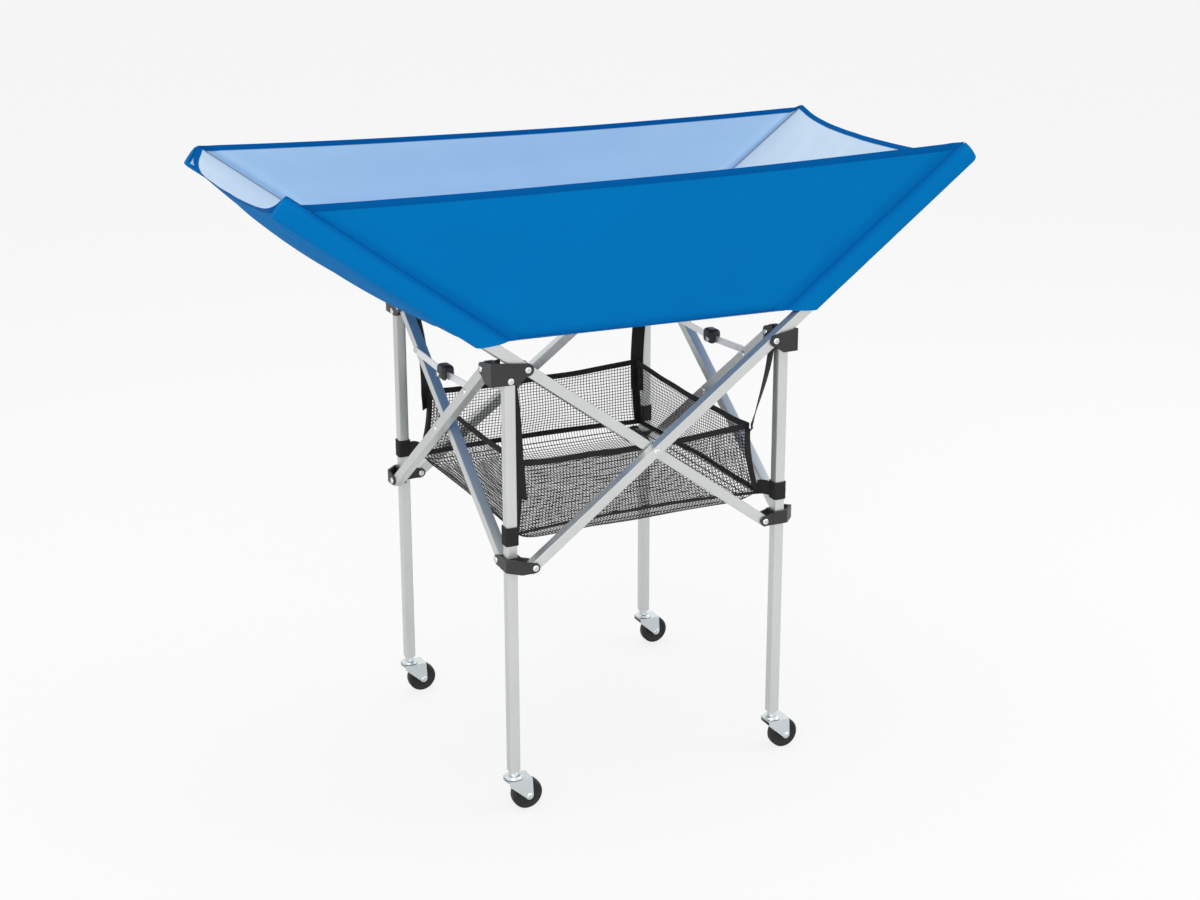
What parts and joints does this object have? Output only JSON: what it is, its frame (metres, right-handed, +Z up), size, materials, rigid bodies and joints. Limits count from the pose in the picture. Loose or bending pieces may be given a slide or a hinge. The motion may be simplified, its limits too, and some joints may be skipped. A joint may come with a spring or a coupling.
{
  "type": "ball cart",
  "caption": "Folding ball cart: square tubular legs on swivel castors, crossed scissor braces, a wide cloth hammock on slanted arms and a mesh gear tray below.",
  "frame": {"origin": "on the floor, midway between the four legs", "axes": "+X along the wide side of the hammock, +Y from the front to the back, +Z up"},
  "size_m": [1.1594, 0.5372, 1.0058],
  "materials": {
    "aluminium_tube": "satin anodised",
    "black_nylon": "fine moulded texture",
    "zinc_steel": "bright zinc plated",
    "stay_steel": "bright zinc plated",
    "black_rubber": "smooth black",
    "blue_cloth": "coated woven polyester, blue outside, pale blue inside",
    "black_net": "open polyester mesh",
    "black_webbing": "woven binding tape"
  },
  "bodies": {
    "front_left_frame": {"front_left_leg": "aluminium_tube", "front_left_upper_bracket": "black_nylon", "front_left_leg_band": "black_webbing", "front_left_castor_stem": "zinc_steel", "hammock_front_panel": "blue_cloth", "hammock_back_panel": "blue_cloth", "hammock_left_panel": "blue_cloth", "hammock_right_panel": "blue_cloth", "hammock_bottom_panel": "blue_cloth", "tray_wall_net": "black_net", "tray_floor_net": "black_net", "tray_top_binding": "black_webbing", "tray_bottom_binding": "black_webbing", "front_left_tray_strap": "black_webbing", "front_right_tray_strap": "black_webbing", "back_right_tray_strap": "black_webbing", "back_left_tray_strap": "black_webbing"},
    "front_inner_arm": {"front_inner_tube": "aluminium_tube", "front_left_arm_sleeve": "blue_cloth"},
    "front_outer_arm": {"front_outer_tube": "aluminium_tube", "front_right_arm_sleeve": "blue_cloth"},
    "front_right_frame": {"front_right_leg": "aluminium_tube", "front_right_upper_bracket": "black_nylon", "front_right_leg_band": "black_webbing", "front_right_castor_stem": "zinc_steel"},
    "back_right_frame": {"back_right_leg": "aluminium_tube", "back_right_upper_bracket": "black_nylon", "back_right_leg_band": "black_webbing", "back_right_castor_stem": "zinc_steel"},
    "back_left_frame": {"back_left_leg": "aluminium_tube", "back_left_upper_bracket": "black_nylon", "back_left_leg_band": "black_webbing", "back_left_castor_stem": "zinc_steel"},
    "front_left_sliding_bracket": {"front_left_slider": "black_nylon"},
    "front_right_sliding_bracket": {"front_right_slider": "black_nylon"},
    "back_right_sliding_bracket": {"back_right_slider": "black_nylon"},
    "back_left_sliding_bracket": {"back_left_slider": "black_nylon"},
    "left_outer_brace": {"left_outer_tube": "aluminium_tube"},
    "left_inner_brace": {"left_inner_tube": "aluminium_tube"},
    "left_stay_upper": {"left_stay_bar": "stay_steel"},
    "left_stay_lower": {"left_stay_joggled_bar": "stay_steel", "left_stay_knob": "black_nylon"},
    "right_outer_brace": {"right_outer_tube": "aluminium_tube"},
    "right_inner_brace": {"right_inner_tube": "aluminium_tube"},
    "right_stay_upper": {"right_stay_bar": "stay_steel"},
    "right_stay_lower": {"right_stay_joggled_bar": "stay_steel", "right_stay_knob": "black_nylon"},
    "back_outer_arm": {"back_outer_tube": "aluminium_tube", "back_left_arm_sleeve": "blue_cloth"},
    "back_inner_arm": {"back_inner_tube": "aluminium_tube", "back_right_arm_sleeve": "blue_cloth"},
    "front_left_castor_swivel": {"front_left_castor_fork": "zinc_steel"},
    "front_left_castor_roll": {"front_left_castor_wheel": "black_rubber"},
    "front_right_castor_swivel": {"front_right_castor_fork": "zinc_steel"},
    "front_right_castor_roll": {"front_right_castor_wheel": "black_rubber"},
    "back_right_castor_swivel": {"back_right_castor_fork": "zinc_steel"},
    "back_right_castor_roll": {"back_right_castor_wheel": "black_rubber"},
    "back_left_castor_swivel": {"back_left_castor_fork": "zinc_steel"},
    "back_left_castor_roll": {"back_left_castor_wheel": "black_rubber"}
  },
  "joints": [
    {"name": "fold", "type": "hinge", "parent": "front_left_frame", "child": "front_inner_arm", "pos_m": [-0.207, -0.235, 0.719], "axis": [0, 1, 0], "range_deg": [0, 40], "deforming": ["hammock_front_panel", "hammock_back_panel", "hammock_left_panel", "hammock_right_panel", "hammock_bottom_panel", "tray_wall_net", "tray_floor_net", "tray_top_binding", "tray_bottom_binding", "front_left_tray_strap", "front_right_tray_strap", "back_right_tray_strap", "back_left_tray_strap"]},
    {"name": "front_scissor", "type": "hinge", "parent": "front_inner_arm", "child": "front_outer_arm", "pos_m": [0, -0.235, 0.566], "axis": [0, 1, 0], "range_deg": [-80, 0]},
    {"name": "front_right_top_pivot", "type": "hinge", "parent": "front_outer_arm", "child": "front_right_frame", "pos_m": [0.207, -0.2545, 0.719], "axis": [0, 1, 0], "range_deg": [0, 40]},
    {"name": "front_left_slider_pivot", "type": "hinge", "parent": "front_outer_arm", "child": "front_left_sliding_bracket", "pos_m": [-0.207, -0.2545, 0.413], "axis": [0, 1, 0], "range_deg": [0, 40]},
    {"name": "front_right_slider_pivot", "type": "hinge", "parent": "front_inner_arm", "child": "front_right_sliding_bracket", "pos_m": [0.207, -0.235, 0.413], "axis": [0, 1, 0], "range_deg": [-40, 0]},
    {"name": "left_top_pivot", "type": "hinge", "parent": "front_left_frame", "child": "left_outer_brace", "pos_m": [-0.2545, -0.207, 0.719], "axis": [1, 0, 0], "range_deg": [-40, 0]},
    {"name": "left_scissor", "type": "hinge", "parent": "left_outer_brace", "child": "left_inner_brace", "pos_m": [-0.235, 0, 0.566], "axis": [1, 0, 0], "range_deg": [0, 80]},
    {"name": "back_left_top_pivot", "type": "hinge", "parent": "left_inner_brace", "child": "back_left_frame", "pos_m": [-0.235, 0.207, 0.719], "axis": [1, 0, 0], "range_deg": [-40, 0]},
    {"name": "back_left_slider_pivot", "type": "hinge", "parent": "left_outer_brace", "child": "back_left_sliding_bracket", "pos_m": [-0.2545, 0.207, 0.413], "axis": [1, 0, 0], "range_deg": [0, 40]},
    {"name": "right_top_pivot", "type": "hinge", "parent": "front_right_frame", "child": "right_inner_brace", "pos_m": [0.235, -0.207, 0.719], "axis": [1, 0, 0], "range_deg": [-40, 0]},
    {"name": "right_scissor", "type": "hinge", "parent": "right_inner_brace", "child": "right_outer_brace", "pos_m": [0.235, 0, 0.566], "axis": [1, 0, 0], "range_deg": [0, 80]},
    {"name": "back_right_top_pivot", "type": "hinge", "parent": "right_outer_brace", "child": "back_right_frame", "pos_m": [0.2545, 0.207, 0.719], "axis": [1, 0, 0], "range_deg": [-40, 0]},
    {"name": "back_right_slider_pivot", "type": "hinge", "parent": "right_inner_brace", "child": "back_right_sliding_bracket", "pos_m": [0.235, 0.207, 0.413], "axis": [1, 0, 0], "range_deg": [0, 40]},
    {"name": "back_top_pivot", "type": "hinge", "parent": "back_left_frame", "child": "back_outer_arm", "pos_m": [-0.207, 0.2545, 0.719], "axis": [0, 1, 0], "range_deg": [0, 40]},
    {"name": "back_scissor", "type": "hinge", "parent": "back_outer_arm", "child": "back_inner_arm", "pos_m": [0, 0.2545, 0.566], "axis": [0, 1, 0], "range_deg": [-80, 0]},
    {"name": "left_stay_pivot", "type": "hinge", "parent": "left_inner_brace", "child": "left_stay_upper", "pos_m": [-0.24475, 0.13, 0.66209], "axis": [1, 0, 0], "range_deg": [-115.75, 0]},
    {"name": "left_stay_hinge", "type": "hinge", "parent": "left_stay_upper", "child": "left_stay_lower", "pos_m": [-0.24475, 0, 0.65609], "axis": [1, 0, 0], "range_deg": [0, 151.5]},
    {"name": "right_stay_pivot", "type": "hinge", "parent": "right_inner_brace", "child": "right_stay_upper", "pos_m": [0.24475, -0.13, 0.66209], "axis": [-1, 0, 0], "range_deg": [-115.75, 0]},
    {"name": "right_stay_hinge", "type": "hinge", "parent": "right_stay_upper", "child": "right_stay_lower", "pos_m": [0.24475, 0, 0.65609], "axis": [-1, 0, 0], "range_deg": [0, 151.5]},
    {"name": "front_left_swivel", "type": "hinge", "parent": "front_left_frame", "child": "front_left_castor_swivel", "pos_m": [-0.235, -0.235, 0.055], "axis": [0, 0, 1], "continuous": true},
    {"name": "front_left_wheel", "type": "hinge", "parent": "front_left_castor_swivel", "child": "front_left_castor_roll", "pos_m": [-0.214, -0.235, 0.025], "axis": [0, 1, 0], "continuous": true},
    {"name": "front_right_swivel", "type": "hinge", "parent": "front_right_frame", "child": "front_right_castor_swivel", "pos_m": [0.235, -0.235, 0.055], "axis": [0, 0, 1], "continuous": true},
    {"name": "front_right_wheel", "type": "hinge", "parent": "front_right_castor_swivel", "child": "front_right_castor_roll", "pos_m": [0.256, -0.235, 0.025], "axis": [0, 1, 0], "continuous": true},
    {"name": "back_right_swivel", "type": "hinge", "parent": "back_right_frame", "child": "back_right_castor_swivel", "pos_m": [0.235, 0.235, 0.055], "axis": [0, 0, 1], "continuous": true},
    {"name": "back_right_wheel", "type": "hinge", "parent": "back_right_castor_swivel", "child": "back_right_castor_roll", "pos_m": [0.256, 0.235, 0.025], "axis": [0, 1, 0], "continuous": true},
    {"name": "back_left_swivel", "type": "hinge", "parent": "back_left_frame", "child": "back_left_castor_swivel", "pos_m": [-0.235, 0.235, 0.055], "axis": [0, 0, 1], "continuous": true},
    {"name": "back_left_wheel", "type": "hinge", "parent": "back_left_castor_swivel", "child": "back_left_castor_roll", "pos_m": [-0.214, 0.235, 0.025], "axis": [0, 1, 0], "continuous": true}
  ],
  "couplings": [
    {"joint": "front_scissor", "follows": "fold", "ratio": -2},
    {"joint": "front_right_top_pivot", "follows": "fold", "ratio": 1},
    {"joint": "front_left_slider_pivot", "follows": "fold", "ratio": 1},
    {"joint": "front_right_slider_pivot", "follows": "fold", "ratio": -1},
    {"joint": "left_top_pivot", "follows": "fold", "ratio": -1},
    {"joint": "left_scissor", "follows": "fold", "ratio": 2},
    {"joint": "back_left_top_pivot", "follows": "fold", "ratio": -1},
    {"joint": "back_left_slider_pivot", "follows": "fold", "ratio": 1},
    {"joint": "right_top_pivot", "follows": "fold", "ratio": -1},
    {"joint": "right_scissor", "follows": "fold", "ratio": 2},
    {"joint": "back_right_top_pivot", "follows": "fold", "ratio": -1},
    {"joint": "back_right_slider_pivot", "follows": "fold", "ratio": 1},
    {"joint": "back_top_pivot", "follows": "fold", "ratio": 1},
    {"joint": "back_scissor", "follows": "fold", "ratio": -2},
    {"joint": "left_stay_pivot", "follows": "fold", "ratio": -2.8937},
    {"joint": "left_stay_hinge", "follows": "fold", "ratio": 3.7874},
    {"joint": "right_stay_pivot", "follows": "fold", "ratio": -2.8937},
    {"joint": "right_stay_hinge", "follows": "fold", "ratio": 3.7874}
  ]
}
